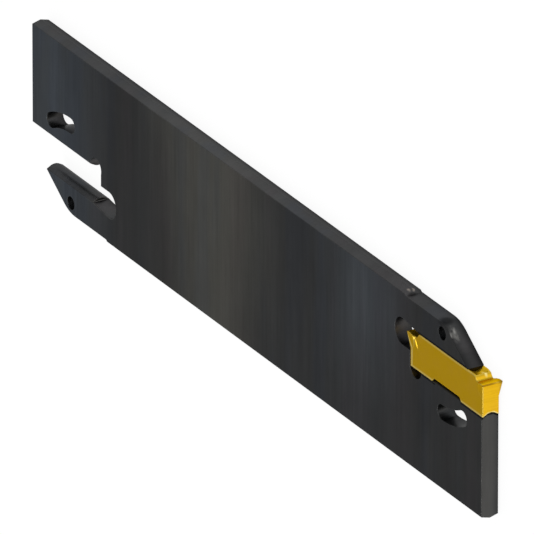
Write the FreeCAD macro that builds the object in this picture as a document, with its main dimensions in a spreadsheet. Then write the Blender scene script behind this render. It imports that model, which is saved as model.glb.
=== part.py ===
import FreeCAD, Part
import math
import os

import Sketcher

# A two-sided parting blade with one double-ended cutting insert.
# X runs along the blade towards the end that holds the insert, Y across its height, Z through its
# thickness with the front face up. The blade lies flat. The origin is below the middle of the part's
# box. Lengths are millimetres, angles degrees.

SIZES = [
    ("blade_length", 150.0, "bar from end face to end face"),
    ("blade_height", 32.0, "over the two V edges"),
    ("blade_thickness", 3.25, "between the flat faces"),
    ("edge_angle", 150.0, "angle between the two bevels of a V edge"),
    ("seat_height", 3.0, "edge of the seat above the blade's centre line"),
    ("seat_depth", 23.34, "blade end to the stop wall"),
    ("stop_height", 2.85, "top of the stop wall above the seat"),
    ("ridge_angle", 30.0, "slope of the flanks of seat and jaw"),
    ("ridge_radius", 1.9, "rounding along the top of the V ridges"),
    ("corner_radius", 1.85, "round relief where seat and stop wall meet"),
    ("corner_setback", 1.77, "its centre in front of the stop wall"),
    ("corner_rise", 0.15, "its centre above the seat"),
    ("hole_reach", 5.06, "clearance hole behind the stop wall"),
    ("hole_clearance", 0.09, "its front edge in front of the insert's rear crest"),
    ("hole_rise", 1.1, "its jaw side above the jaw line, at the back"),
    ("hole_radius", 2.4, "its two rounded corners"),
    ("jaw_setback", 4.75, "blade end to the tip of the jaw"),
    ("jaw_relief", 0.7, "depth ground off the V edge over the jaw"),
    ("jaw_relief_length", 25.5, "blade end to the end of that relief"),
    ("runout_radius", 0.7, "where the relief runs out"),
    ("nose_length", 7.6, "from the tip of the jaw back to its full height"),
    ("nose_radius", 6.5, "rounding between nose and jaw top"),
    ("key_hole_diameter", 2.5, "hole for the pin of the opening key"),
    ("key_hole_setback", 13.0, "its centre from the blade end"),
    ("key_hole_inset", 2.0, "its centre below the jaw's top"),
    ("slot_drop", 4.4, "start of the curved key slot below the seat"),
    ("slot_width", 2.9, "width of the curved key slot"),
    ("slot_sweep", 27.0, "angle that the slot runs about the key hole"),
    ("insert_length", 24.8, "over the two cutting edges"),
    ("insert_width", 4.0, "cutting width"),
    ("insert_height", 7.07, "foot to the top of the rails"),
    ("body_width", 3.2, "insert behind its cutting corners"),
    ("edge_height", 6.37, "cutting edge above the foot"),
    ("heel_height", 3.4, "lower end of the ground clearances"),
    ("front_clearance", 0.6, "cutting edge in front of the end face"),
    ("side_length", 1.85, "length of the ground side at each corner"),
    ("side_taper", 0.06, "how much a side narrows towards the back"),
    ("blend_length", 0.55, "slope between ground side and body"),
    ("blend_radius", 1.2, "its hollow rounding"),
    ("land_length", 1.0, "flat strip behind the cutting edge"),
    ("chip_setback", 2.6, "foot of the chip former's wall"),
    ("chip_depth", 0.42, "that foot below the cutting edge"),
    ("chip_radius", 0.45, "its rounding"),
    ("wall_run", 0.55, "length of the chip former's steep wall"),
    ("wall_rise", 0.38, "top of that wall above the cutting edge"),
    ("crest_length", 0.2, "top of the wall to the end of the rail groove"),
    ("rail_setback", 4.06, "cutting edge to the end of the rails"),
    ("groove_radius", 1.6, "rounding in the bottom of the V grooves"),
    ("recess_depth", 0.74, "relief in the middle of the foot"),
    ("recess_length", 8.2, "length of that relief at its full depth"),
    ("recess_run", 0.6, "length of its sloped ends"),
]

doc = FreeCAD.newDocument("parting_blade")


def write_sheet():
    """Put every driving dimension into the sheet under its own alias."""
    sheet = doc.addObject("Spreadsheet::Sheet", "Sizes")
    for row, (alias, number, note) in enumerate(SIZES, start=1):
        sheet.set(f"A{row}", alias)
        sheet.set(f"B{row}", str(number))
        sheet.set(f"C{row}", note)
        sheet.setAlias(f"B{row}", alias)
    doc.recompute()
    return sheet


class Size:
    """A dimension with its number and the formula that binds it to the sheet."""

    def __init__(self, number, formula):
        self.number = float(number)
        self.formula = formula

    @staticmethod
    def of(other):
        return other if isinstance(other, Size) else Size(other, repr(float(other)))

    def join(self, other, sign, number):
        return Size(number, f"({self.formula} {sign} {other.formula})")

    def __add__(self, other):
        other = Size.of(other)
        return self.join(other, "+", self.number + other.number)

    def __sub__(self, other):
        other = Size.of(other)
        return self.join(other, "-", self.number - other.number)

    def __mul__(self, other):
        other = Size.of(other)
        return self.join(other, "*", self.number * other.number)

    def __truediv__(self, other):
        other = Size.of(other)
        return self.join(other, "/", self.number / other.number)

    def __neg__(self):
        return Size(-self.number, f"(0 - {self.formula})")


def tangent(angle):
    return Size(math.tan(math.radians(angle.number)), f"tan({angle.formula} * 1 deg)")


def sine(angle):
    return Size(math.sin(math.radians(angle.number)), f"sin({angle.formula} * 1 deg)")


def cosine(angle):
    return Size(math.cos(math.radians(angle.number)), f"cos({angle.formula} * 1 deg)")


sheet = write_sheet()
size = {alias: Size(sheet.get(alias), f"Sizes.{alias}") for alias, number, note in SIZES}
zero = Size(0.0, "0")
margin = Size(2.0, "2")


def new_body(label):
    body = doc.addObject("PartDesign::Body", label)
    body.Label = label
    return body


def origin_feature(body, role):
    return next(f for f in body.Origin.OriginFeatures if f.Role == role)


def new_sketch(body, name, plane, offset=zero):
    """A sketch on one of the body's own origin planes, shifted along that plane's normal."""
    sketch = body.newObject("Sketcher::SketchObject", name)
    sketch.AttachmentSupport = (origin_feature(body, plane), [""])
    sketch.MapMode = "FlatFace"
    sketch.AttachmentOffset = FreeCAD.Placement(FreeCAD.Vector(0, 0, offset.number), FreeCAD.Rotation())
    if offset is not zero:
        sketch.setExpression(".AttachmentOffset.Base.z", offset.formula)
    return sketch


def bind(sketch, kind, elements, dimension):
    """Add one dimension to a sketch and bind it to its formula."""
    index = sketch.addConstraint(Sketcher.Constraint(kind, *elements, dimension.number))
    sketch.setExpression(f"Constraints[{index}]", dimension.formula)


def place_point(sketch, geometry, position, point):
    """Fix a point of the sketch at its X and Y from the sketch's origin."""
    bind(sketch, "DistanceX", (-1, 1, geometry, position), point[0])
    bind(sketch, "DistanceY", (-1, 1, geometry, position), point[1])


def vector(point):
    return FreeCAD.Vector(point[0].number, point[1].number, 0)


def add_circle(sketch, centre, radius):
    circle = Part.Circle(vector(centre), FreeCAD.Vector(0, 0, 1), radius.number)
    index = sketch.addGeometry(circle, False)
    place_point(sketch, index, 3, centre)
    bind(sketch, "Radius", (index,), radius)


def corner_arc(before, corner, after, radius):
    """The arc that rounds a corner, its two tangent points and which of its ends meets the first."""
    back = (before - corner).normalize()
    ahead = (after - corner).normalize()
    half = back.getAngle(ahead) / 2
    reach = radius / math.tan(half)
    middle = corner + (back + ahead).normalize() * (radius / math.sin(half))
    tangents = [corner + back * reach, corner + ahead * reach]
    angles = [math.atan2(point.y - middle.y, point.x - middle.x) for point in tangents]
    first = 1 if back.cross(ahead).z < 0 else 2
    if first == 2:
        angles.reverse()
    if angles[1] < angles[0]:
        angles[1] += 2 * math.pi
    circle = Part.Circle(middle, FreeCAD.Vector(0, 0, 1), radius)
    return Part.ArcOfCircle(circle, *angles), tangents, first


def add_outline(sketch, corners):
    """A closed outline through its corners. A corner is (x, y) or (x, y, radius)."""
    points = [vector(corner) for corner in corners]
    count = len(corners)
    starts = list(points)
    ends = list(points)
    arcs = {}
    for i, corner in enumerate(corners):
        if len(corner) == 3:
            arc, tangents, first = corner_arc(points[i - 1], points[i], points[(i + 1) % count],
                                              corner[2].number)
            ends[i], starts[i] = tangents
            arcs[i] = (arc, first)
    lines = [sketch.addGeometry(Part.LineSegment(starts[i], ends[(i + 1) % count]), False)
             for i in range(count)]
    for i, corner in enumerate(corners):
        before = lines[i - 1]
        after = lines[i]
        if i not in arcs:
            sketch.addConstraint(Sketcher.Constraint("Coincident", before, 2, after, 1))
            place_point(sketch, after, 1, corner)
            continue
        virtual = sketch.addGeometry(Part.Point(points[i]), True)
        place_point(sketch, virtual, 1, corner)
        sketch.addConstraint(Sketcher.Constraint("PointOnObject", virtual, 1, before))
        sketch.addConstraint(Sketcher.Constraint("PointOnObject", virtual, 1, after))
        shape, first = arcs[i]
        arc = sketch.addGeometry(shape, False)
        sketch.addConstraint(Sketcher.Constraint("Tangent", before, 2, arc, first))
        sketch.addConstraint(Sketcher.Constraint("Tangent", after, 1, arc, 3 - first))
        bind(sketch, "Radius", (arc,), corner[2])


def add_curved_slot(sketch, centre, radius, width, sweep):
    """A slot that follows an arc about a centre, from straight below it towards +X."""
    ends = [(centre[0], centre[1] - radius),
            (centre[0] + radius * sine(sweep), centre[1] - radius * cosine(sweep))]
    low = -math.pi / 2
    high = low + math.radians(sweep.number)
    axis = FreeCAD.Vector(0, 0, 1)
    half = width.number / 2

    def arc(middle, reach, start, end):
        circle = Part.Circle(vector(middle), axis, reach)
        return sketch.addGeometry(Part.ArcOfCircle(circle, start, end), False)

    inner = arc(centre, radius.number - half, low, high)
    outer = arc(centre, radius.number + half, low, high)
    first = arc(ends[0], half, low - math.pi, low)
    last = arc(ends[1], half, high, high + math.pi)
    place_point(sketch, inner, 3, centre)
    sketch.addConstraint(Sketcher.Constraint("Coincident", outer, 3, inner, 3))
    for side, start_of_last in ((inner, 2), (outer, 1)):
        sketch.addConstraint(Sketcher.Constraint("Tangent", side, 2, last, start_of_last))
        sketch.addConstraint(Sketcher.Constraint("Tangent", side, 1, first, 3 - start_of_last))
    bind(sketch, "Radius", (inner,), radius - width / 2)
    bind(sketch, "Radius", (outer,), radius + width / 2)
    bind(sketch, "DistanceX", (-1, 1, first, 3), ends[0][0])
    bind(sketch, "DistanceX", (-1, 1, last, 3), ends[1][0])


def pad(body, name, sketch, length):
    """Extrude a sketch by half the length to each side."""
    feature = body.newObject("PartDesign::Pad", name)
    feature.Profile = sketch
    feature.SideType = "Symmetric"
    feature.Length = length.number
    feature.setExpression("Length", length.formula)
    return feature


def cut_through(body, name, sketch):
    """Cut a sketch through the whole body, to both sides of its plane."""
    feature = body.newObject("PartDesign::Pocket", name)
    feature.Profile = sketch
    feature.SideType = "Symmetric"
    feature.Type = "ThroughAll"
    return feature


def cut_length(body, name, sketch, length):
    """Cut a sketch by half the length to each side of its plane."""
    feature = body.newObject("PartDesign::Pocket", name)
    feature.Profile = sketch
    feature.SideType = "Symmetric"
    feature.Type = "Length"
    feature.Length = length.number
    feature.setExpression("Length", length.formula)
    return feature


# Places that both pieces share, from the blade's centre.
blade_end = size["blade_length"] / 2
half_thickness = size["blade_thickness"] / 2
half_body = size["body_width"] / 2
flank = tangent(size["ridge_angle"])
flank_step = (half_thickness - half_body) * flank
stop_x = blade_end - size["seat_depth"]
foot_y = size["seat_height"] + flank_step
jaw_line = foot_y + size["insert_height"] + flank_step
slot_middle = (size["seat_height"] + jaw_line) / 2
body_length = size["insert_length"] - size["front_clearance"] * 2
edge_x = size["insert_length"] / 2
wall_top = edge_x - size["chip_setback"] - size["wall_run"]
groove_end = wall_top - size["crest_length"]
insert_middle = stop_x + body_length / 2
overhang = insert_middle + edge_x - blade_end
shift_x = -overhang / 2
middle_z = size["insert_width"] / 2


def ridge_corners(edge, sign, radius):
    """Corners of a V flank pair across the blade, drawn as (y, z) and a little past both faces."""
    outer = half_thickness + margin
    low = edge - flank * margin * sign
    top = edge + flank * half_thickness * sign
    return [(low, -outer), (top, zero, radius), (low, outer)]


def add_blade_bar(body):
    """The bar with its two V edges."""
    edge_line = size["blade_height"] / 2 - half_thickness / tangent(size["edge_angle"] / 2)
    crest = size["blade_height"] / 2
    sketch = new_sketch(body, "bar_section", "YZ_Plane")
    add_outline(sketch, [(-crest, zero), (-edge_line, -half_thickness), (edge_line, -half_thickness),
                         (crest, zero), (edge_line, half_thickness), (-edge_line, half_thickness)])
    pad(body, "bar", sketch, size["blade_length"])


def add_insert_channel(body):
    """The open channel between seat and jaw, each with its V ridge."""
    sketch = new_sketch(body, "channel_section", "YZ_Plane", stop_x)
    seat = ridge_corners(size["seat_height"], 1, size["ridge_radius"])
    jaw = ridge_corners(jaw_line, -1, size["ridge_radius"])
    add_outline(sketch, seat + jaw[::-1])
    feature = body.newObject("PartDesign::Pocket", "channel")
    feature.Profile = sketch
    feature.Type = "ThroughAll"
    feature.Reversed = True
    return feature


def add_corner_relief(body):
    """Round relief where the seat meets the stop wall."""
    sketch = new_sketch(body, "corner_outline", "XY_Plane")
    centre = (stop_x + size["corner_setback"], size["seat_height"] + size["corner_rise"])
    add_circle(sketch, centre, size["corner_radius"])
    return cut_through(body, "corner_relief", sketch)


def add_clearance_hole(body):
    """Hole that frees the rear cutting edge and lets the jaw spring."""
    back = stop_x - size["hole_reach"]
    front = insert_middle - groove_end + size["hole_clearance"]
    floor = size["seat_height"] + size["stop_height"]
    radius = size["hole_radius"]
    sketch = new_sketch(body, "hole_outline", "XY_Plane")
    add_outline(sketch, [(front, floor), (front, jaw_line), (back, jaw_line + size["hole_rise"], radius),
                         (back, floor, radius)])
    return cut_through(body, "clearance_hole", sketch)


def add_jaw_outside(body):
    """The jaw's outer form: the ground relief with its run-out, the nose and the blunt tip."""
    top = size["blade_height"] / 2 - size["jaw_relief"]
    outside = size["blade_height"] / 2 + margin
    tip = blade_end - size["jaw_setback"]
    nose_start = tip - size["nose_length"]
    runout = blade_end - size["jaw_relief_length"]
    sketch = new_sketch(body, "jaw_outline", "XY_Plane")
    add_outline(sketch, [(tip, slot_middle), (tip, jaw_line), (nose_start, top, size["nose_radius"]),
                         (runout, top, size["runout_radius"]), (runout, outside),
                         (blade_end + margin, outside), (blade_end + margin, slot_middle)])
    return cut_through(body, "jaw_outside", sketch)


def add_key_holes(body):
    """The round key hole in the jaw and the curved slot that runs about it."""
    centre_x = blade_end - size["key_hole_setback"]
    centre_y = size["blade_height"] / 2 - size["jaw_relief"] - size["key_hole_inset"]
    radius = centre_y - (size["seat_height"] - size["slot_drop"])
    hole = new_sketch(body, "key_hole_outline", "XY_Plane")
    add_circle(hole, (centre_x, centre_y), size["key_hole_diameter"] / 2)
    slot = new_sketch(body, "key_slot_outline", "XY_Plane")
    add_curved_slot(slot, (centre_x, centre_y), radius, size["slot_width"], size["slot_sweep"])
    return [cut_through(body, "key_hole", hole), cut_through(body, "key_slot", slot)]


def make_blade():
    """The steel blade, with the same pocket at each end, turned by half a turn."""
    body = new_body("blade")
    add_blade_bar(body)
    cuts = [add_insert_channel(body), add_corner_relief(body), add_clearance_hole(body),
            add_jaw_outside(body)] + add_key_holes(body)
    turn = body.newObject("PartDesign::PolarPattern", "both_ends")
    turn.Originals = cuts
    turn.Axis = (origin_feature(body, "Z_Axis"), [""])
    turn.Angle = 360
    turn.Occurrences = 2
    body.Tip = turn
    body.setExpression(".Placement.Base.x", shift_x.formula)
    body.setExpression(".Placement.Base.z", middle_z.formula)
    return body


def add_insert_blank(body):
    """The insert's side outline: foot with its recess, end faces, front clearances and rails."""
    foot = body_length / 2
    recess = size["recess_length"] / 2
    ramp = recess + size["recess_run"]
    right = [(recess, size["recess_depth"]), (ramp, zero), (foot, zero), (foot, size["heel_height"]),
             (edge_x, size["edge_height"]), (edge_x, size["insert_height"])]
    left = [(-x, y) for x, y in reversed(right)]
    sketch = new_sketch(body, "blank_outline", "XY_Plane")
    add_outline(sketch, right + left)
    pad(body, "blank", sketch, size["body_width"])


def tip_corners(front, half_width):
    """Corners of one cutting tip seen from above, drawn as (x, z)."""
    side_end = edge_x - size["side_length"]
    blend_end = side_end - size["blend_length"]
    narrow = half_width - size["side_taper"]
    inside = narrow - (size["insert_width"] - size["body_width"]) / 2 - size["side_taper"]
    back = blend_end - size["side_length"] / 2
    near = [(front, half_width), (side_end, narrow), (blend_end, inside, size["blend_radius"]),
            (back, inside)]
    far = [(corner[0], -corner[1], *corner[2:]) for corner in reversed(near)]
    return near + far


def add_cutting_tip(body):
    """One cutting tip, full width at its edge and ground away below it on three sides."""
    low = new_sketch(body, "tip_heel", "XZ_Plane", -size["heel_height"])
    add_outline(low, tip_corners(body_length / 2, half_body))
    high = new_sketch(body, "tip_edge", "XZ_Plane", -size["edge_height"])
    add_outline(high, tip_corners(edge_x, size["insert_width"] / 2))
    loft = body.newObject("PartDesign::AdditiveLoft", "cutting_tip")
    loft.Profile = low
    loft.Sections = [high]
    loft.Ruled = True
    return loft


def add_chip_former(body):
    """Land, raking floor and steep wall that curl the chip, then the slope up to the rails."""
    above = size["insert_height"] + margin
    edge = size["edge_height"]
    sketch = new_sketch(body, "chip_outline", "XY_Plane")
    add_outline(sketch, [(edge_x + margin, edge), (edge_x + margin, above),
                         (edge_x - size["rail_setback"], above),
                         (edge_x - size["rail_setback"], size["insert_height"]),
                         (wall_top, edge + size["wall_rise"]),
                         (edge_x - size["chip_setback"], edge - size["chip_depth"], size["chip_radius"]),
                         (edge_x - size["land_length"], edge)])
    return cut_through(body, "chip_former", sketch)


def add_grooves(body):
    """V grooves in foot and rails, which sit on the ridges of seat and jaw."""
    outer = half_body + margin
    drop = flank * margin
    rise = flank * half_body
    rails = size["insert_height"]
    radius = size["groove_radius"]
    foot = new_sketch(body, "foot_groove_section", "YZ_Plane")
    add_outline(foot, [(-drop, -outer), (rise, zero, radius), (-drop, outer)])
    cut_through(body, "foot_groove", foot)
    top = new_sketch(body, "rail_groove_section", "YZ_Plane")
    add_outline(top, [(rails + drop, outer), (rails - rise, zero, radius), (rails + drop, -outer)])
    cut_length(body, "rail_groove", top, groove_end * 2)


def make_insert():
    """The double-ended cutting insert, pushed against the stop wall of its pocket."""
    body = new_body("cutting_insert")
    add_insert_blank(body)
    tip = add_cutting_tip(body)
    chip = add_chip_former(body)
    both = body.newObject("PartDesign::Mirrored", "both_tips")
    both.Originals = [tip, chip]
    both.MirrorPlane = (origin_feature(body, "YZ_Plane"), [""])
    body.Tip = both
    add_grooves(body)
    body.setExpression(".Placement.Base.x", (insert_middle + shift_x).formula)
    body.setExpression(".Placement.Base.y", foot_y.formula)
    body.setExpression(".Placement.Base.z", middle_z.formula)
    return body


def check_document():
    """Stop when an object failed to build."""
    for thing in doc.Objects:
        if "Invalid" in thing.State or "Error" in thing.State:
            raise RuntimeError(f"{thing.Name} failed: {thing.State}")


def write_parts(bodies):
    """Check every piece, then write each one to its own file."""
    for body in bodies:
        shape = body.Shape
        if shape.isNull() or not shape.isValid() or len(shape.Solids) != 1:
            raise RuntimeError(f"{body.Label} is not one valid solid")
    os.makedirs("parts", exist_ok=True)
    for body in bodies:
        body.Shape.exportStep(f"parts/{body.Label}.step")
        box = body.Shape.BoundBox
        print(f"{body.Label}: volume {body.Shape.Volume:.2f} mm3, "
              f"X {box.XMin:.3f} to {box.XMax:.3f}, Y {box.YMin:.3f} to {box.YMax:.3f}, "
              f"Z {box.ZMin:.3f} to {box.ZMax:.3f}")


pieces = [make_blade(), make_insert()]
doc.recompute()
check_document()
write_parts(pieces)
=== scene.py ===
"""Looks of a double-ended parting blade with one gold-coated insert, lying flat on a pale studio floor."""
import math

import bpy
import bmesh
from bpy.props import FloatProperty, FloatVectorProperty, PointerProperty
from bpy.types import Operator, Panel, PropertyGroup
from mathutils import Matrix, Vector


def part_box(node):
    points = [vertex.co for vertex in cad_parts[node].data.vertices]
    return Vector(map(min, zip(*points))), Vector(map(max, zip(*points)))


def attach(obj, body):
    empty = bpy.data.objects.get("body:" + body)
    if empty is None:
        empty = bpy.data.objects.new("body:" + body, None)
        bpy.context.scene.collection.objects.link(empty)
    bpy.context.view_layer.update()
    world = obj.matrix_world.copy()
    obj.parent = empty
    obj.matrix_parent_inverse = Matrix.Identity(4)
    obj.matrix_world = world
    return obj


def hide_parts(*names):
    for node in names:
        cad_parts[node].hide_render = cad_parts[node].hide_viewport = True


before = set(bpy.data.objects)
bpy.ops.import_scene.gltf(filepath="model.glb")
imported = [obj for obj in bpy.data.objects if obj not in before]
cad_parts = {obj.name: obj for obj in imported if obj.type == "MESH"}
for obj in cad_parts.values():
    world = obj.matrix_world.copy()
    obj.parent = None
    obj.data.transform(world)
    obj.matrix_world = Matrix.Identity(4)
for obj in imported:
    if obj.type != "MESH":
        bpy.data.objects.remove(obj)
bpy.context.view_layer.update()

bl_info = {
    "name": "Parting Blade Finish",
    "version": (1, 0, 0),
    "blender": (4, 5, 0),
    "location": "View3D > Sidebar > Parting Blade",
    "description": "Finishes for a parting blade and its insert, and a small studio around them",
    "category": "Material",
}

INSERT_LOW, INSERT_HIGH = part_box("cutting_insert")
INSERT_MIDDLE = (INSERT_LOW[0] + INSERT_HIGH[0]) / 2
INSERT_HALF = (INSERT_HIGH[0] - INSERT_LOW[0]) / 2


# Colours of the marks, which are mixed into a finish, among them painted shade and painted highlights. A
# tint is multiplied with it.

WHITE = (1.0, 1.0, 1.0, 1.0)

COOL_TINT = (0.93, 0.98, 1.10, 1.0)
WARM_TINT = (1.04, 0.97, 1.0, 1.0)
BLADE_END_TINT = (1.18, 1.15, 1.09, 1.0)
# Worn bare steel on the edges, which also colours the painted highlight on the nose's bend
WORN_STEEL_AND_BEND_HIGHLIGHT = (0.21, 0.207, 0.195, 1.0)
# Painted shade of the run-out step and painted highlights at the run-out
STEP_SHADE = (0.012, 0.012, 0.012, 1.0)
RUN_OUT_HIGHLIGHT = (0.34, 0.30, 0.265, 1.0)
# Painted highlight streaks along the nose's bend
NOSE_STREAK_HIGHLIGHT = (0.50, 0.49, 0.47, 1.0)

GOLD_CLOUD = (0.74, 0.45, 0.028, 1.0)
GOLD_GRAIN = (0.86, 0.58, 0.05, 1.0)
GOLD_SIDE_TINT = (0.87, 0.87, 1.6, 1.0)
GOLD_END_TINT = (1.06, 1.0, 0.8, 1.0)
GROUND_LINE_SHADE = (0.62, 0.36, 0.01, 1.0)
# Painted highlights on the honed edges, the side's rims and the foot rim; painted shade in creases
HONED_EDGE_HIGHLIGHT = (1.0, 0.80, 0.20, 1.0)
SIDE_RIM_HIGHLIGHT = (0.97, 0.80, 0.28, 1.0)
FOOT_RIM_HIGHLIGHT = (1.0, 0.87, 0.38, 1.0)
CREASE_SHADE = (0.12, 0.06, 0.002, 1.0)
# Painted shade and a painted highlight streak in the chip former; painted shade along the cutting edge, at
# the far corner and on the far rim
CHIP_FLOOR_SHADE = (0.20, 0.14, 0.004, 1.0)
CHIP_SLOPE_SHADE = (0.20, 0.12, 0.003, 1.0)
CHIP_CREST_SHADE = (0.30, 0.20, 0.006, 1.0)
CHIP_STREAK_HIGHLIGHT = (1.0, 0.88, 0.36, 1.0)
CUTTING_EDGE_SHADE = (0.26, 0.12, 0.002, 1.0)
FAR_CORNER_SHADE = (0.15, 0.08, 0.002, 1.0)
FAR_RIM_SHADE = (0.42, 0.27, 0.05, 1.0)

STEEL_RIM_TINT = (0.5, 0.5, 0.5, 1.0)
GOLD_RIM_TINT = (1.0, 0.75, 0.3, 1.0)
STUDIO_FLOOR_PAINT = (0.8, 0.8, 0.8, 1.0)


# Places of the marks, in metres. A band is its centre line and half width, a patch its centre and its
# reach along each axis. A step is where it begins and where it is full. A line that leans has its lean's
# cosine and sine.

# Painted reflections: a warm band and two cool bands along the blade, mixed into its colour
WARM_REFLECTION_BAND = (-0.0145, 0.026)
COOL_REFLECTION_LEFT = (-0.0685, 0.022)
COOL_REFLECTION_RIGHT = (0.0355, 0.021)
COOL_REFLECTION_HEIGHT = (-0.014, 0.012)
BAND_WAVINESS = 0.004

# Painted shade on the jaw's nose and a painted dark patch where its bend starts; a painted highlight on the
# bend
NOSE_STEP_X = (0.0600, 0.0620)
NOSE_STEP_Y = (0.0093, 0.0100)
NOSE_BACK_SIDE = (0.0004, 0.0019)
NOSE_FRONT_SIDE = (0.0022, 0.0036)
NOSE_TIP = (0.0660, 0.0690)
NOSE_START_PATCH = ((0.0611, 0.0151, 0.0025), (0.0020, 0.0012, 0.0021))
NOSE_BEND_PATCH = ((0.0641, 0.0139, 0.0027), (0.0024, 0.0022, 0.0012))

# Painted highlights at the run-out and painted shade of its step
RUN_OUT_PATCHES = (((0.04875, 0.0158, 0.0025), (0.0007, 0.0006, 0.00042)),
                   ((0.04895, 0.0158, 0.0017), (0.0007, 0.0006, 0.00042)))
RUN_OUT_STEP_PATCH = ((0.0497, 0.0153, 0.0023), (0.0011, 0.0005, 0.0014))

# Two painted highlight streaks along the nose's bend
STREAK_COS, STREAK_SIN = 0.95, 0.31
NOSE_STREAK_BANDS = (((-0.01737, 0.00034), (0.06134, 0.0011)),
                 ((-0.01662, 0.00028), (0.06205, 0.0007)))
NOSE_STREAK_STEP_Y = (0.0118, 0.0126)

RIDGE_FLANK = (0.0006, 0.0016)
RIDGE_RISE = 0.00062
# Painted shadow line under the insert's foot, on the blade's end
SEAT_GAP_BAND = (0.00018, 0.00045)
BLADE_END_STEP = (0.0735, 0.0740)
HOLE_LOW_WALL_PATCH = ((0.0500, 0.0068, 0.0020), (0.0055, 0.0034, 0.0060))

# Painted shadow lines along the jaw and the seat beside the insert
JAW_LINE_BAND = (0.01024, 0.00034)
JAW_LINE_START = (0.0530, 0.0542)
JAW_LINE_END = (0.0692, 0.0702)
SEAT_LINE_BAND = (0.00288, 0.00028)
SEAT_LINE_START = (0.0545, 0.0553)
RECESS_MIDDLE = 0.0635
RECESS_END_STEP = (0.0039, 0.0043)
# Painted shade, darker towards the back side
BACK_TO_FRONT = (0.0010, 0.0030)

BLEND_COS, BLEND_SIN = 0.88, 0.475
BLEND_END_BAND = (0.05055, 0.0004)
BLEND_LENGTH_BAND = (0.0183, 0.0018)
# Painted highlights on the side's rims and along the foot
TIP_COS, TIP_SIN = 0.919, 0.394
TIP_RIM_BAND = (0.05016, 0.00032)
HEEL_RIM_BAND = (0.05174, 0.00034)
HEEL_TOP_STEP = (0.0062, 0.0066)
RIM_WIDTH = 0.0004
RAIL_RIM_DROP = 0.00018
FOOT_RIM_RISE = 0.00020
FOOT_HIGHLIGHT_STEP = (0.0001, 0.00035)
CUTTING_EDGE_SIDE = (0.0006, 0.0024)

# Steps along the insert's tips, from its cutting edges at 0 inwards to negative values
# Painted shade along the cutting edge and on the chip former's floor, slope and crest
CUTTING_EDGE_FRONT = (-0.00034, -0.00014)
CHIP_FLOOR_FRONT = (-0.0003, -0.0004)
CHIP_FLOOR_DEEPER = (-0.0004, -0.0013)
CHIP_FLOOR_BACK = (-0.0029, -0.0027)
CHIP_WALL_FOOT = (-0.0024, -0.0022)
CHIP_SLOPE_FRONT = (-0.0028, -0.0032)
CHIP_SLOPE_BACK = (-0.0046, -0.0042)
CHIP_CREST_BAND = (-0.0032, 0.0006)

# Steps in height on the insert's tips, from the cutting edges' height
CHIP_LOW_STEP = (-0.00030, -0.00016)
CHIP_RAISED_STEP = (-0.0006, -0.0004)
CHIP_SLOPE_STEP = (0.0001, 0.0003)
CHIP_CREST_STEP = (0.0001, 0.0002)
CUTTING_EDGE_STEP = (-0.00036, -0.00020)

# Patches at the front tip, with centres from the front cutting edge
# A painted highlight streak, and painted shade at the far corner and on the far rim
CHIP_STREAK_PATCH = ((-0.0034, 0.0003, 0.0015), (0.0015, 0.0007, 0.0004))
FAR_CORNER_PATCH = ((-0.0001, 0.0, 0.0002), (0.0010, 0.0008, 0.0011))
FAR_RIM_PATCH = ((-0.0003, -0.0011, 0.0001), (0.0012, 0.0018, 0.0008))


# Scales of the patterns, in repeats per metre

WAVES, MOTTLE, TINTS, BROAD_MARKS = 28.0, 90.0, 150.0, 260.0
CLOUDS, BEND_HIGHLIGHT_CLOUDS, GROUND_LINES, FINE_GRAIN = 420.0, 900.0, 3300.0, 6000.0


# Reach of the shade in creases and depth of the fine reliefs, in metres

STEEL_CREASE, GOLD_CREASE = 0.0022, 0.0007
STEEL_RELIEF, GOLD_RELIEF = 0.00001, 0.000006


# Cosines between the true and the rounded normal: off the edges, and where an edge's mark is full

STRAIGHT = 0.998
BLADE_BEND, INSERT_BEND = 0.8, 0.96


# Share by which the normal leans where the rear tip's hollow blend runs out

RUN_OUT_LEAN = 0.66


# The honed copy of the insert: what is merged, flat, honed and sharp, where the crests are that stay
# sharp, in metres, and the least share of the volume that has to be left

MERGE_DISTANCE = 0.000001
FLAT_ANGLE = math.radians(0.5)
HONED_ANGLE = math.radians(24.0)
SHARP_ANGLE = math.radians(35.0)
CREST_LENGTH = 0.0005
CREST_DROP = 0.0006
CREST_SETBACK = 0.002
LEAST_VOLUME = 0.96


# The stage: where the sky turns from white to the ceiling, as the sine of its height, the floor, the
# lamps' directions and distances in metres, and the point that the camera looks at

HORIZON = (0.02, 0.3)
STUDIO_FLOOR_GAP = 0.00002
STUDIO_FLOOR_GLOW = 0.92
KEY_DIRECTION, KEY_DISTANCE = (0.70, 0.62, 0.35), 1.0
OVERHEAD_DIRECTION, OVERHEAD_DISTANCE = (0.12, -0.43, 0.90), 0.8
CAMERA_AIM = (0.00016786, -0.00033424, 0.00130322)
SENSOR_MILLIMETRES = 36.0


# Shader nodes

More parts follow.
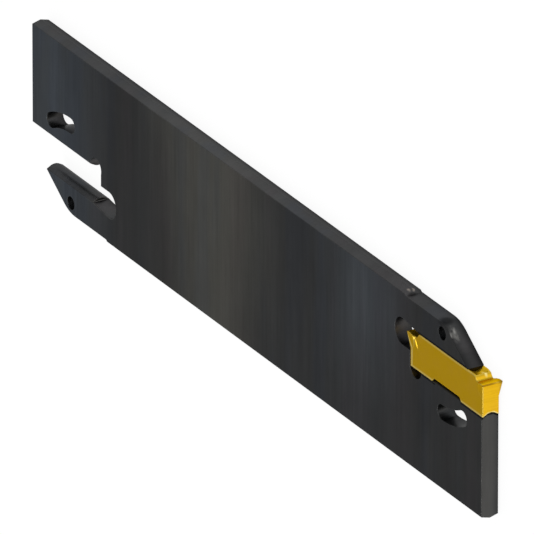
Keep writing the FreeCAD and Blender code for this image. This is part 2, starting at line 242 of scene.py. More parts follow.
class Nodes:
    """Adds shader nodes to one node tree. An input is a number, a colour or another node's socket."""

    def __init__(self, tree):
        self.tree = tree
        tree.nodes.clear()

    def set(self, socket, value):
        """Link or set one input."""
        if isinstance(value, bpy.types.NodeSocket):
            self.tree.links.new(value, socket)
        else:
            socket.default_value = value

    def add(self, kind, inputs=None, **settings):
        """Add a node with its settings, then its inputs by name or number."""
        node = self.tree.nodes.new(kind)
        for name, value in settings.items():
            setattr(node, name, value)
        for name, value in (inputs or {}).items():
            self.set(node.inputs[name], value)
        return node

    def math(self, operation, *values):
        """One math operation."""
        return self.add("ShaderNodeMath", dict(enumerate(values)), operation=operation).outputs[0]

    def chain(self, operation, values):
        """One math operation over all values in turn."""
        total = values[0]
        for value in values[1:]:
            total = self.math(operation, total, value)
        return total

    def product(self, *values):
        """All values multiplied."""
        return self.chain("MULTIPLY", values)

    def greatest(self, *values):
        """The greatest of the values."""
        return self.chain("MAXIMUM", values)

    def weighted(self, first, first_weight, second, second_weight):
        """The sum of two values, each times its weight."""
        return self.math("ADD", self.product(first, first_weight), self.product(second, second_weight))

    def distance(self, value, centre):
        """How far a value is from the centre, on either side."""
        return self.math("ABSOLUTE", self.math("SUBTRACT", value, centre))

    def split(self, vector):
        """The three parts of a vector."""
        return self.add("ShaderNodeSeparateXYZ", {0: vector}).outputs

    def stretch(self, vector, x, y, z):
        """Coordinates multiplied along each axis."""
        return self.add("ShaderNodeMapping", {"Vector": vector, "Scale": (x, y, z)}).outputs[0]

    def noise(self, vector, scale, detail=2.0, roughness=0.5):
        """Soft noise about 0.5."""
        inputs = {"Vector": vector, "Scale": scale, "Detail": detail, "Roughness": roughness}
        return self.add("ShaderNodeTexNoise", inputs).outputs[0]

    def span(self, value, low, high, at_low, at_high, smooth=True):
        """Value from low to high turned into at_low to at_high."""
        inputs = {"Value": value, "From Min": low, "From Max": high, "To Min": at_low, "To Max": at_high}
        kind = "SMOOTHSTEP" if smooth else "LINEAR"
        return self.add("ShaderNodeMapRange", inputs, interpolation_type=kind).outputs[0]

    def rise(self, value, begin, full):
        """0 up to begin and 1 from full on, which may lie on either side of begin."""
        return self.span(value, begin, full, 0.0, 1.0)

    def fall(self, value, begin, gone):
        """1 up to begin and 0 from gone on."""
        return self.span(value, begin, gone, 1.0, 0.0)

    def blend(self, share, first, second, kind="MIX"):
        """Mix of two colours."""
        node = self.add("ShaderNodeMix", data_type="RGBA", blend_type=kind)
        for socket, value in ((node.inputs[0], share), (node.inputs[6], first), (node.inputs[7], second)):
            self.set(socket, value)
        return node.outputs[2]

    def layers(self, colour, *marks):
        """A colour with marks over it, each given as its mask and its colour."""
        for mask, tone in marks:
            colour = self.blend(mask, colour, tone)
        return colour

    def band(self, place, centre, half_width):
        """1 on a line across the piece, fading to 0 at half_width from it."""
        return self.fall(self.distance(place, centre), 0.0, half_width)

    def patch(self, vector, centre, reach):
        """1 at a point, fading to 0 on the ellipsoid with these half axes about it."""
        place = tuple(-middle / half for middle, half in zip(centre, reach))
        scale = tuple(1.0 / half for half in reach)
        inputs = {"Vector": vector, "Location": place, "Scale": scale}
        near = self.add("ShaderNodeMapping", inputs).outputs[0]
        away = self.add("ShaderNodeVectorMath", {0: near}, operation="LENGTH").outputs["Value"]
        return self.fall(away, 0.0, 1.0)

    def openness(self, reach):
        """1 on open faces, falling towards 0 in holes and creases."""
        return self.add("ShaderNodeAmbientOcclusion", {"Distance": reach}, samples=8).outputs["AO"]

    def edges(self, radius, bend):
        """The normal rounded over edges, and a mask that is 1 where it is bent down to this cosine."""
        rounded = self.add("ShaderNodeBevel", {"Radius": radius}, samples=6).outputs[0]
        true = self.add("ShaderNodeNewGeometry").outputs["True Normal"]
        inputs = {0: rounded, 1: true}
        likeness = self.add("ShaderNodeVectorMath", inputs, operation="DOT_PRODUCT").outputs["Value"]
        return rounded, self.rise(likeness, STRAIGHT, bend)

    def metal(self, colour, roughness, height, relief, depth, normal, rim_tint):
        """The shader of a bare metal face with a fine relief, given to the material."""
        inputs = {"Strength": relief, "Distance": depth, "Height": height, "Normal": normal}
        bump = self.add("ShaderNodeBump", inputs).outputs[0]
        surface = self.add("ShaderNodeBsdfPrincipled", {
            "Base Color": colour, "Metallic": 1.0, "Roughness": roughness, "Normal": bump,
            "Specular Tint": rim_tint}).outputs[0]
        self.add("ShaderNodeOutputMaterial", {0: surface})


def new_material(name):
    """An empty node material."""
    material = bpy.data.materials.new(name)
    material.use_nodes = True
    return material, Nodes(material.node_tree)


def opaque(colour):
    """A colour property with its alpha."""
    return (*colour, 1.0)


def dress(node_name, material):
    """Put the material in every slot of a CAD node's object."""
    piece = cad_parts[node_name]
    if not piece.material_slots:
        raise RuntimeError(f"{node_name} has no material slot")
    for slot in piece.material_slots:
        slot.material = material


def foot_line(nodes, z):
    """Height of the insert's grooved foot across its width, which is the top of the seat's ridge."""
    aside = nodes.distance(z, (INSERT_LOW[2] + INSERT_HIGH[2]) / 2)
    return nodes.span(aside, *RIDGE_FLANK, INSERT_LOW[1] + RIDGE_RISE, INSERT_LOW[1], smooth=False)


# Sizes and colours

class BladeFinish(PropertyGroup):
    """Blackened and ground steel."""
    steel: FloatVectorProperty(
        name="Steel", description="Colour of the blackened steel", subtype="COLOR", size=3, min=0.0,
        max=1.0, default=(0.066, 0.067, 0.068))
    # The warm and the cool band are painted reflections along the blade's faces, given as colours
    warm: FloatVectorProperty(
        name="Warm band", description="Colour where the oxide is thin and warm", subtype="COLOR", size=3,
        min=0.0, max=1.0, default=(0.133, 0.131, 0.118))
    cool: FloatVectorProperty(
        name="Cool band", description="Colour where the oxide is thick and bluish", subtype="COLOR",
        size=3, min=0.0, max=1.0, default=(0.100, 0.111, 0.123))
    roughness: FloatProperty(
        name="Roughness", description="How matt the ground faces are", subtype="FACTOR", min=0.0, max=1.0,
        default=0.36)
    streak_width: FloatProperty(
        name="Streak width", description="Distance between the grinding marks", subtype="DISTANCE",
        unit="LENGTH", min=0.00005, max=0.005, default=0.0005)
    edge_width: FloatProperty(
        name="Edge break", description="Width of the broken edges", subtype="DISTANCE", unit="LENGTH",
        min=0.0, max=0.001, default=0.0003)


class InsertFinish(PropertyGroup):
    """Gold-coated sintered carbide."""
    coating: FloatVectorProperty(
        name="Coating", description="Colour of the gold-coloured coating", subtype="COLOR", size=3,
        min=0.0, max=1.0, default=(0.79, 0.495, 0.018))
    roughness: FloatProperty(
        name="Roughness", description="How matt the coating is", subtype="FACTOR", min=0.0, max=1.0,
        default=0.34)
    grain_size: FloatProperty(
        name="Grain", description="Size of the pressed and sintered grain", subtype="DISTANCE",
        unit="LENGTH", min=0.00001, max=0.001, default=0.00012)
    # The bright line along the edges is a painted highlight over the rounded normal
    edge_width: FloatProperty(
        name="Edge shine", description="Width of the bright line along the edges", subtype="DISTANCE",
        unit="LENGTH", min=0.0, max=0.0005, default=0.00022)
    hone: FloatProperty(
        name="Edge hone", description="Width of the honed edges", subtype="DISTANCE", unit="LENGTH",
        min=0.00002, max=0.0004, default=0.00014)
    rail_height: FloatProperty(
        name="Rail height", description="Top of the rails above the cutting edges", subtype="DISTANCE",
        unit="LENGTH", min=0.0, max=0.005, default=0.0007)


class StudioStage(PropertyGroup):
    """Floor, lamps and camera."""
    floor_size: FloatProperty(
        name="Floor", description="Side of the square floor", subtype="DISTANCE", unit="LENGTH", min=0.2,
        max=20.0, default=2.4)
    ceiling: FloatProperty(
        name="Ceiling", description="Brightness of the studio above the floor, against white",
        subtype="FACTOR", min=0.0, max=1.0, default=0.42)
    fill: FloatProperty(
        name="Fill", description="Level of the light from all round", min=0.0, max=2.0, default=1.25)
    key_power: FloatProperty(
        name="Key lamp", description="Power of the large soft lamp", subtype="POWER", unit="POWER", min=0.0,
        max=200.0, default=1.6)
    key_size: FloatProperty(
        name="Key size", description="Side of the large soft lamp", subtype="DISTANCE", unit="LENGTH",
        min=0.05, max=5.0, default=0.7)
    strip_power: FloatProperty(
        name="Overhead lamp", description="Power of the small lamp above, which the hollow blends catch",
        subtype="POWER", unit="POWER", min=0.0, max=50.0, default=1.3)
    strip_size: FloatProperty(
        name="Overhead size", description="Side of the small lamp above", subtype="DISTANCE", unit="LENGTH",
        min=0.02, max=2.0, default=0.36)
    camera_azimuth: FloatProperty(
        name="Azimuth", description="Camera's turn about the vertical, from straight before the blade",
        subtype="ANGLE", unit="ROTATION", default=math.radians(119.0869))
    camera_elevation: FloatProperty(
        name="Elevation", description="Camera's height angle", subtype="ANGLE", unit="ROTATION",
        default=math.radians(27.3218))
    camera_roll: FloatProperty(
        name="Roll", description="Camera's turn about its own axis", subtype="ANGLE", unit="ROTATION",
        default=math.radians(-104.3120))
    camera_distance: FloatProperty(
        name="Distance", description="Camera's distance from the blade", subtype="DISTANCE", unit="LENGTH",
        min=0.1, max=50.0, default=4.03874)
    lens: FloatProperty(
        name="Lens", description="Focal length in millimetres", min=20.0, max=3000.0, default=1600.0)


# Blade

class BladePlaces:
    """Coordinates of a point on the blade, and masks that are 1 on its flat faces, walls and ends."""

    def __init__(self, nodes):
        self.spot = nodes.add("ShaderNodeTexCoord").outputs["Object"]
        self.x, self.y, self.z = nodes.split(self.spot)
        endward, _, upward = nodes.split(nodes.add("ShaderNodeNewGeometry").outputs["True Normal"])
        self.face = nodes.rise(nodes.math("ABSOLUTE", upward), 0.5, 0.95)
        self.wall = nodes.fall(self.face, 0.0, 1.0)
        self.end = nodes.rise(nodes.math("ABSOLUTE", endward), 0.9, 1.0)


def oxide_and_reflections(nodes, at, finish):
    """The steel's colour with painted warm and cool reflection bands and a faint tint that changes along
    it.
    """
    waves = nodes.noise(at.spot, WAVES, 3.0)
    waviness = nodes.span(waves, 0.3, 0.7, -BAND_WAVINESS, BAND_WAVINESS, smooth=False)
    along = nodes.math("ADD", at.x, waviness)
    warm = nodes.product(nodes.band(along, *WARM_REFLECTION_BAND), nodes.span(at.face, 0.0, 1.0, 0.17, 1.0))
    cool_right = nodes.product(nodes.band(along, *COOL_REFLECTION_RIGHT),
                               nodes.span(at.y, *COOL_REFLECTION_HEIGHT, 0.18, 1.0))
    cool = nodes.product(nodes.greatest(nodes.band(along, *COOL_REFLECTION_LEFT), cool_right), at.face)
    colour = nodes.layers(opaque(finish.steel), (warm, opaque(finish.warm)), (cool, opaque(finish.cool)))
    tint = nodes.noise(nodes.stretch(at.spot, 1.0, 0.12, 1.0), TINTS, 2.0)
    colour = nodes.blend(nodes.span(tint, 0.5, 0.68, 0.0, 0.55), colour, COOL_TINT, "MULTIPLY")
    colour = nodes.blend(nodes.span(tint, 0.5, 0.32, 0.0, 0.55), colour, WARM_TINT, "MULTIPLY")
    return nodes.blend(at.end, colour, BLADE_END_TINT, "MULTIPLY")


def nose_shade(nodes, at):
    """Painted shade on the jaw's nose, darker towards both sides and its tip, with a painted dark patch
    where its bend starts.
    """
    on_nose = nodes.product(at.wall, nodes.rise(at.x, *NOSE_STEP_X), nodes.rise(at.y, *NOSE_STEP_Y))
    across = nodes.product(nodes.span(at.z, *NOSE_BACK_SIDE, 0.46, 0.78),
                           nodes.span(at.z, *NOSE_FRONT_SIDE, 1.0, 0.6),
                           nodes.span(at.x, *NOSE_TIP, 1.0, 0.72))
    ground = nodes.span(on_nose, 0.0, 1.0, 1.0, across, smooth=False)
    start = nodes.patch(at.spot, *NOSE_START_PATCH)
    return nodes.product(ground, nodes.span(start, 0.0, 0.8, 1.0, 0.42))


def pocket_rim_shadow(nodes, at):
    """Painted shadow line along the broken edges that the insert lies against."""
    along_jaw = nodes.product(nodes.band(at.y, *JAW_LINE_BAND), nodes.rise(at.x, *JAW_LINE_START),
                              nodes.fall(at.x, *JAW_LINE_END))
    beside_recess = nodes.rise(nodes.distance(at.x, RECESS_MIDDLE), *RECESS_END_STEP)
    along_seat = nodes.product(nodes.band(at.y, *SEAT_LINE_BAND), nodes.rise(at.x, *SEAT_LINE_START),
                               beside_recess)
    dark = nodes.product(nodes.greatest(along_jaw, along_seat), at.face)
    return nodes.span(dark, 0.0, 1.0, 1.0, 0.25)


def hole_shade(nodes, at):
    """Shade of the clearance hole's lower wall, which lies in the dark beside the insert."""
    low = nodes.product(nodes.patch(at.spot, *HOLE_LOW_WALL_PATCH), at.wall)
    return nodes.span(low, 0.0, 0.5, 1.0, 0.5)


def seat_gap_shadow(nodes, at):
    """Painted shadow line on the blade's end along the seat's ridge, where the insert's foot begins."""
    below = nodes.math("SUBTRACT", foot_line(nodes, at.z), at.y)
    gap = nodes.product(nodes.band(below, *SEAT_GAP_BAND), nodes.rise(at.x, *BLADE_END_STEP), at.end)
    return nodes.span(gap, 0.0, 0.8, 1.0, 0.15)


def blade_shade(nodes, at, marks, mottle):
    """Grey that the steel's colour is multiplied with: grinding marks and mottle, painted shade in creases
    and towards the back side, and painted shade on the nose, along the pocket, in the hole and in the
    seat's gap.
    """
    broad_marks = nodes.noise(nodes.stretch(at.spot, 1.0, 0.05, 0.3), BROAD_MARKS, 3.0, 0.55)
    shade = nodes.product(
        nodes.span(marks, 0.2, 0.8, 0.87, 1.13, smooth=False),
        nodes.span(broad_marks, 0.2, 0.8, 0.89, 1.11, smooth=False),
        nodes.span(mottle, 0.25, 0.75, 0.92, 1.08, smooth=False),
        nodes.span(at.face, 0.0, 1.0, 1.0, 0.96, smooth=False),
        # Painted shade towards the back side and in creases
        nodes.span(at.z, *BACK_TO_FRONT, 0.92, 1.0),
        nodes.span(nodes.openness(STEEL_CREASE), 0.25, 0.92, 0.17, 1.0),
        nose_shade(nodes, at), pocket_rim_shadow(nodes, at), hole_shade(nodes, at), seat_gap_shadow(nodes, at))
    return nodes.add("ShaderNodeCombineColor", {0: shade, 1: shade, 2: shade}).outputs[0]


def nose_bend_highlight(nodes, at):
    """Painted highlight on the bend of the nose, broken up into clouds."""
    cloud = nodes.noise(nodes.stretch(at.spot, 1.0, 1.0, 2.2), BEND_HIGHLIGHT_CLOUDS, 3.0, 0.6)
    return nodes.product(nodes.patch(at.spot, *NOSE_BEND_PATCH), nodes.span(cloud, 0.36, 0.66, 0.0, 0.7))


def run_out(nodes, at):
    """Painted shade on the step where the wheel left the ground relief, and two painted highlights above
    it.
    """
    step = nodes.patch(at.spot, *RUN_OUT_STEP_PATCH)
    highlight_spots = nodes.greatest(*(nodes.patch(at.spot, *patch) for patch in RUN_OUT_PATCHES))
    return nodes.span(step, 0.0, 0.8, 0.0, 0.6), nodes.span(highlight_spots, 0.0, 0.9, 0.0, 0.6)


def nose_streak_highlights(nodes, at):
    """Two short painted highlight streaks along the bend of the nose."""
    across = nodes.weighted(at.z, STREAK_COS, at.x, -STREAK_SIN)
    along = nodes.weighted(at.x, STREAK_COS, at.z, STREAK_SIN)
    lines = (nodes.product(nodes.band(across, *place), nodes.band(along, *length))
             for place, length in NOSE_STREAK_BANDS)
    return nodes.product(nodes.greatest(*lines), nodes.span(at.y, *NOSE_STREAK_STEP_Y, 0.0, 0.34), at.wall)


class PARTINGBLADE_OT_blacken_blade(Operator):
    """Blacken and grind the steel blade"""
    bl_idname = "parting_blade.blacken_blade"
    bl_label = "Blacken Blade"

    def execute(self, context):
        finish = context.scene.blade_finish
        material, nodes = new_material("blackened_steel")
        at = BladePlaces(nodes)
        marks = nodes.noise(nodes.stretch(at.spot, 1.0, 0.03, 0.4), 1.0 / finish.streak_width, 4.0, 0.6)
        mottle = nodes.noise(at.spot, MOTTLE, 4.0, 0.6)
        shade = blade_shade(nodes, at, marks, mottle)
        colour = nodes.blend(1.0, oxide_and_reflections(nodes, at, finish), shade, "MULTIPLY")

        rounded, worn = nodes.edges(finish.edge_width, BLADE_BEND)
        wear = nodes.product(worn, nodes.span(mottle, 0.45, 0.7, 0.05, 0.4))
        step, highlight_spots = run_out(nodes, at)
        # Worn edges and the painted highlight on the nose's bend, then the run-out's painted shade and
        # highlights and the nose's painted highlight streaks
        colour = nodes.layers(colour,
                              (nodes.greatest(wear, nose_bend_highlight(nodes, at)), WORN_STEEL_AND_BEND_HIGHLIGHT),
                              (step, STEP_SHADE),
                              (highlight_spots, RUN_OUT_HIGHLIGHT),
                              (nose_streak_highlights(nodes, at), NOSE_STREAK_HIGHLIGHT))

        gloss = nodes.span(marks, 0.2, 0.8, finish.roughness - 0.05, finish.roughness + 0.06, smooth=False)
        height = nodes.math("ADD", marks, nodes.product(nodes.noise(at.spot, FINE_GRAIN, 2.0), 0.25))
        nodes.metal(colour, gloss, height, 0.35, STEEL_RELIEF, rounded, STEEL_RIM_TINT)
        dress("blade", material)
        return {"FINISHED"}


# Insert

class InsertPlaces:
    """Coordinates of a point on the insert, and masks that are 1 on its sides and on its end faces."""

    def __init__(self, nodes, rail_height):
        self.spot = nodes.add("ShaderNodeTexCoord").outputs["Object"]
        self.x, self.y, self.z = nodes.split(self.spot)
        endward, _, sideward = nodes.split(nodes.add("ShaderNodeNewGeometry").outputs["True Normal"])
        self.side = nodes.rise(nodes.math("ABSOLUTE", sideward), 0.8, 0.99)
        self.off_side = nodes.fall(self.side, 0.0, 1.0)
        self.ends = nodes.rise(nodes.math("ABSOLUTE", endward), 0.7, 0.95)
        self.outward = nodes.math("SUBTRACT", nodes.distance(self.x, INSERT_MIDDLE), INSERT_HALF)
        self.edge_height = INSERT_HIGH[1] - rail_height

    def above(self, step):
        """Both heights of a step that is given from the cutting edges."""
        return [self.edge_height + height for height in step]

    def tip_patch(self, nodes, centre, reach):
        """A patch whose centre is given from the front cutting edge, and across from the back side."""
        along, up, across = centre
        return nodes.patch(self.spot, (INSERT_HIGH[0] + along, self.edge_height + up, across), reach)


def coating(nodes, at, finish, clouds, grain):
    """The gold-coloured coating with its clouds and grain, and the ground lines of the end faces."""
    colour = nodes.layers(opaque(finish.coating),
                          (nodes.span(clouds, 0.35, 0.7, 0.0, 0.5), GOLD_CLOUD),
                          (nodes.span(grain, 0.55, 0.8, 0.0, 0.25), GOLD_GRAIN))
    colour = nodes.blend(at.side, colour, GOLD_SIDE_TINT, "MULTIPLY")
    ground = nodes.noise(nodes.stretch(at.spot, 1.0, 1.0, 0.06), GROUND_LINES, 3.0, 0.6)
    lines = nodes.product(at.ends, nodes.span(ground, 0.42, 0.62, 0.0, 0.35))
    return nodes.blend(at.ends, nodes.blend(lines, colour, GROUND_LINE_SHADE), GOLD_END_TINT, "MULTIPLY")


def side_rim_highlights(nodes, at):
    """1 on the side's rims, where a pale highlight is painted: along the rails, along the foot and down the
    rear tip.
    """
    rails = nodes.product(nodes.band(at.y, INSERT_HIGH[1] - RAIL_RIM_DROP, RIM_WIDTH), 0.55)
    foot = nodes.product(nodes.band(at.y, INSERT_LOW[1] + FOOT_RIM_RISE, RIM_WIDTH), 0.8)
    slant = nodes.weighted(at.x, TIP_COS, at.y, TIP_SIN)
    tip = nodes.product(nodes.band(slant, *TIP_RIM_BAND), nodes.rise(at.y, *HEEL_TOP_STEP))
    heel = nodes.product(nodes.band(at.x, *HEEL_RIM_BAND), nodes.fall(at.y, *HEEL_TOP_STEP))
    return nodes.product(nodes.greatest(rails, foot, tip, heel), at.side)


def foot_rim_highlight(nodes, at):
    """The painted pale highlight on the end faces' rim along the grooved foot."""
    above = nodes.math("SUBTRACT", at.y, foot_line(nodes, at.z))
    return nodes.product(nodes.span(above, *FOOT_HIGHLIGHT_STEP, 0.75, 0.0), at.ends)


def chip_former_light_and_shade(nodes, at):
    """Masks and colours of the painted shade on the chip former's floor, slope and crest, of a painted
    highlight streak on it, and of the painted shade along the cutting edge, at the far corner and on the
    far rim.
    """
    out = at.outward
    low = nodes.greatest(nodes.fall(at.y, *at.above(CHIP_LOW_STEP)), nodes.rise(out, *CHIP_WALL_FOOT))
    floor = nodes.product(nodes.span(out, *CHIP_FLOOR_DEEPER, 0.3, 1.0), nodes.rise(out, *CHIP_FLOOR_FRONT),
                          nodes.rise(out, *CHIP_FLOOR_BACK), low,
                          nodes.rise(at.y, *at.above(CHIP_RAISED_STEP)), at.off_side)
    slope = nodes.product(nodes.rise(out, *CHIP_SLOPE_FRONT), nodes.rise(out, *CHIP_SLOPE_BACK),
                          nodes.rise(at.y, *at.above(CHIP_SLOPE_STEP)))
    crest = nodes.product(nodes.band(out, *CHIP_CREST_BAND),
                          nodes.rise(at.y, *at.above(CHIP_CREST_STEP)), at.off_side)
    line = nodes.product(nodes.rise(out, *CUTTING_EDGE_FRONT),
                         nodes.rise(at.y, *at.above(CUTTING_EDGE_STEP)),
                         nodes.span(at.z, *CUTTING_EDGE_SIDE, 0.35, 1.0))
    marks = ((floor, 0.55, CHIP_FLOOR_SHADE),
             (slope, 0.12, CHIP_SLOPE_SHADE),
             (crest, 0.4, CHIP_CREST_SHADE),
             (at.tip_patch(nodes, *CHIP_STREAK_PATCH), 0.9, CHIP_STREAK_HIGHLIGHT),
             (line, 0.8, CUTTING_EDGE_SHADE),
             (at.tip_patch(nodes, *FAR_CORNER_PATCH), 0.85, FAR_CORNER_SHADE),
             (at.tip_patch(nodes, *FAR_RIM_PATCH), 0.7, FAR_RIM_SHADE))
    return [(nodes.product(mask, strength), tone) for mask, strength, tone in marks]


def lean_at_blend(nodes, at, normal):
    """The normal, leaning along the insert where the rear tip's hollow blend runs out on the side."""
    across = nodes.weighted(at.x, BLEND_COS, at.y, BLEND_SIN)
    along = nodes.weighted(at.x, BLEND_SIN, at.y, -BLEND_COS)
    line = nodes.product(nodes.band(across, *BLEND_END_BAND),
                         nodes.band(along, *BLEND_LENGTH_BAND), at.side)
    lean = nodes.add("ShaderNodeCombineXYZ", {0: nodes.product(line, RUN_OUT_LEAN)}).outputs[0]
    lean = nodes.add("ShaderNodeVectorTransform", {0: lean}, vector_type="VECTOR", convert_from="OBJECT",
                     convert_to="WORLD").outputs[0]
    bent = nodes.add("ShaderNodeVectorMath", {0: normal, 1: lean}, operation="ADD").outputs[0]
    return nodes.add("ShaderNodeVectorMath", {0: bent}, operation="NORMALIZE").outputs[0]


def outer_edges(form):
    """The insert's outward edges, without the sharp crests of its chip formers."""
    chosen = []
    for edge in form.edges:
        first, second = (vert.co for vert in edge.verts)
        centre = (first + second) / 2
        crest = (abs(first.z - second.z) > CREST_LENGTH and centre.y > INSERT_HIGH[1] - CREST_DROP
                 and abs(centre.x - INSERT_MIDDLE) < INSERT_HALF - CREST_SETBACK)
        if edge.is_convex and not crest and edge.calc_face_angle(0.0) > HONED_ANGLE:
            chosen.append(edge)
    return chosen


def hone_insert(width):
    """The insert's form with its outer edges honed round, in the place of the CAD solid."""
    form = bmesh.new()
    form.from_mesh(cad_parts["cutting_insert"].data)
    bmesh.ops.remove_doubles(form, verts=form.verts, dist=MERGE_DISTANCE)
    bmesh.ops.dissolve_limit(form, angle_limit=FLAT_ANGLE, verts=form.verts, edges=form.edges)
    whole = form.calc_volume()
    bmesh.ops.bevel(form, geom=outer_edges(form), offset=width, offset_type="OFFSET", segments=2,
                    profile=0.5, affect="EDGES", clamp_overlap=True, material=-1)
    bmesh.ops.recalc_face_normals(form, faces=form.faces)
    kept = form.calc_volume() / whole
    open_edges = sum(not edge.is_manifold for edge in form.edges)
    if open_edges or not LEAST_VOLUME < kept < 1.0:
        raise RuntimeError(f"the honed insert has {open_edges} open edges and {kept:.3f} of its volume")
    for face in form.faces:
        face.smooth = True
    mesh = bpy.data.meshes.new("honed_insert")
    form.to_mesh(mesh)
    form.free()
    mesh.set_sharp_from_angle(angle=SHARP_ANGLE)
    piece = bpy.data.objects.new("honed_insert", mesh)
    bpy.context.scene.collection.objects.link(piece)
    bake_flat_normals(piece)
    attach(piece, "root")
    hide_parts("cutting_insert")
    return piece


def bake_flat_normals(piece):
    """Let the large faces shade flat and only the honed strips round, and keep that in the mesh."""
    flat = piece.modifiers.new("flat_faces", "WEIGHTED_NORMAL")
    flat.mode = "FACE_AREA"
    flat.weight = 100
    flat.keep_sharp = True
    rough = piece.data
    name = rough.name
    shaded = bpy.data.meshes.new_from_object(piece.evaluated_get(bpy.context.evaluated_depsgraph_get()))
    piece.modifiers.clear()
    piece.data = shaded
    bpy.data.meshes.remove(rough)
    shaded.name = name


class PARTINGBLADE_OT_coat_insert(Operator):
    """Make the cutting insert with honed edges and give it its gold-coloured coating"""
    bl_idname = "parting_blade.coat_insert"
    bl_label = "Coat Insert"

    def execute(self, context):
        finish = context.scene.insert_finish
        material, nodes = new_material("gold_coated_carbide")
        at = InsertPlaces(nodes, finish.rail_height)
        grain = nodes.noise(at.spot, 1.0 / finish.grain_size, 3.0, 0.6)
        clouds = nodes.noise(at.spot, CLOUDS, 4.0, 0.6)
        rounded, honed = nodes.edges(finish.edge_width, INSERT_BEND)
        # Painted shade in the insert's creases
        creases = nodes.span(nodes.openness(GOLD_CREASE), 0.25, 0.8, 0.4, 0.0)
        colour = nodes.layers(coating(nodes, at, finish, clouds, grain),
                              # Painted highlights on the honed edges, the side's rims and the foot, then
                              # painted shade in creases and in the chip former
                              (nodes.product(honed, 0.5), HONED_EDGE_HIGHLIGHT),
                              (side_rim_highlights(nodes, at), SIDE_RIM_HIGHLIGHT),
                              (foot_rim_highlight(nodes, at), FOOT_RIM_HIGHLIGHT),
                              (creases, CREASE_SHADE),
                              *chip_former_light_and_shade(nodes, at))

        gloss = nodes.span(clouds, 0.3, 0.7, finish.roughness - 0.04, finish.roughness + 0.05, smooth=False)
        bent = lean_at_blend(nodes, at, rounded)
        nodes.metal(colour, gloss, grain, 0.3, GOLD_RELIEF, bent, GOLD_RIM_TINT)
        insert = hone_insert(finish.hone)
        insert.data.materials.append(material)
        return {"FINISHED"}


# Stage

def seen_directly(nodes):
    """1 for rays that show what is there: from the camera, off a gloss or through a hole."""
    path = nodes.add("ShaderNodeLightPath").outputs
    return nodes.greatest(path["Is Camera Ray"], path["Is Glossy Ray"], path["Is Transmission Ray"])


def make_world(stage):
    """White round the floor, a darker ceiling above it, and an even fill light."""
    world = bpy.data.worlds.new("studio_world")
    world.use_nodes = True
    nodes = Nodes(world.node_tree)
    upward = nodes.split(nodes.add("ShaderNodeTexCoord").outputs["Generated"])[2]
    sky = nodes.span(upward, *HORIZON, 1.0, stage.ceiling)
    shown = nodes.add("ShaderNodeBackground", {"Color": WHITE, "Strength": sky}).outputs[0]
    fill = nodes.add("ShaderNodeBackground", {"Color": WHITE, "Strength": stage.fill}).outputs[0]
    mixed = nodes.add("ShaderNodeMixShader", {0: seen_directly(nodes), 1: fill, 2: shown}).outputs[0]
    nodes.add("ShaderNodeOutputWorld", {0: mixed})
    bpy.context.scene.world = world


def make_floor(stage):
    """A square floor that shows white and keeps the blade's soft shadow."""
    mesh = bpy.data.meshes.new("studio_floor")
    plane = bmesh.new()
    bmesh.ops.create_grid(plane, x_segments=1, y_segments=1, size=stage.floor_size / 2)
    bmesh.ops.translate(plane, vec=(0.0, 0.0, -STUDIO_FLOOR_GAP), verts=plane.verts)
    plane.to_mesh(mesh)
    plane.free()
    floor = bpy.data.objects.new("studio_floor", mesh)
    bpy.context.scene.collection.objects.link(floor)

    material, nodes = new_material("studio_floor")
    paint = nodes.add("ShaderNodeBsdfDiffuse", {"Color": STUDIO_FLOOR_PAINT}).outputs[0]
    glow = nodes.add("ShaderNodeEmission", {"Color": WHITE, "Strength": 1.0}).outputs[0]
    share = nodes.product(seen_directly(nodes), STUDIO_FLOOR_GLOW)
    mixed = nodes.add("ShaderNodeMixShader", {0: share, 1: paint, 2: glow}).outputs[0]
    nodes.add("ShaderNodeOutputMaterial", {0: mixed})
    mesh.materials.append(material)


def make_lamp(name, direction, distance, size, power):
    """A square soft lamp that looks at the blade."""
    lamp = bpy.data.lights.new(name, "AREA")
    lamp.shape = "SQUARE"
    lamp.size = size
    lamp.energy = power
    holder = bpy.data.objects.new(name, lamp)
    bpy.context.scene.collection.objects.link(holder)
    toward = Vector(direction).normalized()
    turn = toward.to_track_quat("Z", "Y").to_matrix().to_4x4()
    holder.matrix_world = Matrix.Translation(toward * distance) @ turn


def make_camera(stage):
    """The photograph's view: a long lens from above the insert's end, turned on its side."""
    azimuth, elevation = stage.camera_azimuth, stage.camera_elevation
    back = Vector((math.sin(azimuth) * math.cos(elevation), -math.cos(azimuth) * math.cos(elevation),
                   math.sin(elevation)))
    level = Vector((0.0, 0.0, 1.0)).cross(back).normalized()
    right = Matrix.Rotation(stage.camera_roll, 3, back) @ level
    up = back.cross(right)
    place = Vector(CAMERA_AIM) + back * stage.camera_distance
    camera = bpy.data.cameras.new("photo_camera")
    camera.lens = stage.lens
    camera.sensor_width = SENSOR_MILLIMETRES
    holder = bpy.data.objects.new("photo_camera", camera)
    bpy.context.scene.collection.objects.link(holder)
    rows = [[right[i], up[i], back[i], place[i]] for i in range(3)] + [[0.0, 0.0, 0.0, 1.0]]
    holder.matrix_world = Matrix(rows)
    bpy.context.scene.camera = holder


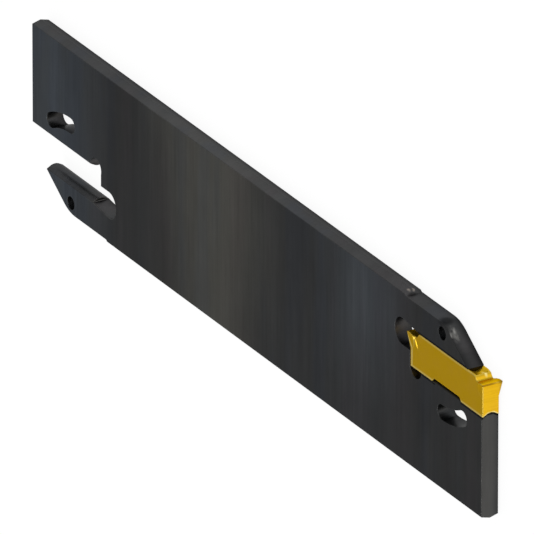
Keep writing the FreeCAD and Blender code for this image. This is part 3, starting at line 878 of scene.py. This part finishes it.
class PARTINGBLADE_OT_set_stage(Operator):
    """Set the floor, the lamps and the camera"""
    bl_idname = "parting_blade.set_stage"
    bl_label = "Set Stage"

    def execute(self, context):
        stage = context.scene.studio_stage
        make_world(stage)
        make_floor(stage)
        make_lamp("key_lamp", KEY_DIRECTION, KEY_DISTANCE, stage.key_size, stage.key_power)
        make_lamp("overhead_lamp", OVERHEAD_DIRECTION, OVERHEAD_DISTANCE, stage.strip_size,
                  stage.strip_power)
        make_camera(stage)
        context.scene.view_settings.view_transform = "Standard"
        return {"FINISHED"}


# Panel

class PARTINGBLADE_PT_finish(Panel):
    """Buttons and settings for the blade, its insert and the stage"""
    bl_label = "Parting Blade"
    bl_idname = "PARTINGBLADE_PT_finish"
    bl_space_type = "VIEW_3D"
    bl_region_type = "UI"
    bl_category = "Parting Blade"

    def draw(self, context):
        for operator, group in STEPS:
            box = self.layout.box()
            box.operator(operator.bl_idname)
            settings = getattr(context.scene, group)
            for name in settings.__annotations__:
                box.prop(settings, name)


STEPS = (
    (PARTINGBLADE_OT_blacken_blade, "blade_finish"),
    (PARTINGBLADE_OT_coat_insert, "insert_finish"),
    (PARTINGBLADE_OT_set_stage, "studio_stage"),
)
GROUPS = {"blade_finish": BladeFinish, "insert_finish": InsertFinish, "studio_stage": StudioStage}
CLASSES = (*GROUPS.values(), *(operator for operator, _ in STEPS), PARTINGBLADE_PT_finish)


def register():
    """Make the settings, operators and panel known to Blender."""
    for kind in CLASSES:
        bpy.utils.register_class(kind)
    for name, group in GROUPS.items():
        setattr(bpy.types.Scene, name, PointerProperty(type=group))


def unregister():
    """Take them out again."""
    for name in GROUPS:
        delattr(bpy.types.Scene, name)
    for kind in reversed(CLASSES):
        bpy.utils.unregister_class(kind)


def main():
    """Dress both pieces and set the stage."""
    register()
    bpy.ops.parting_blade.blacken_blade()
    bpy.ops.parting_blade.coat_insert()
    bpy.ops.parting_blade.set_stage()
    bpy.context.view_layer.update()


if __name__ == "__main__":
    main()
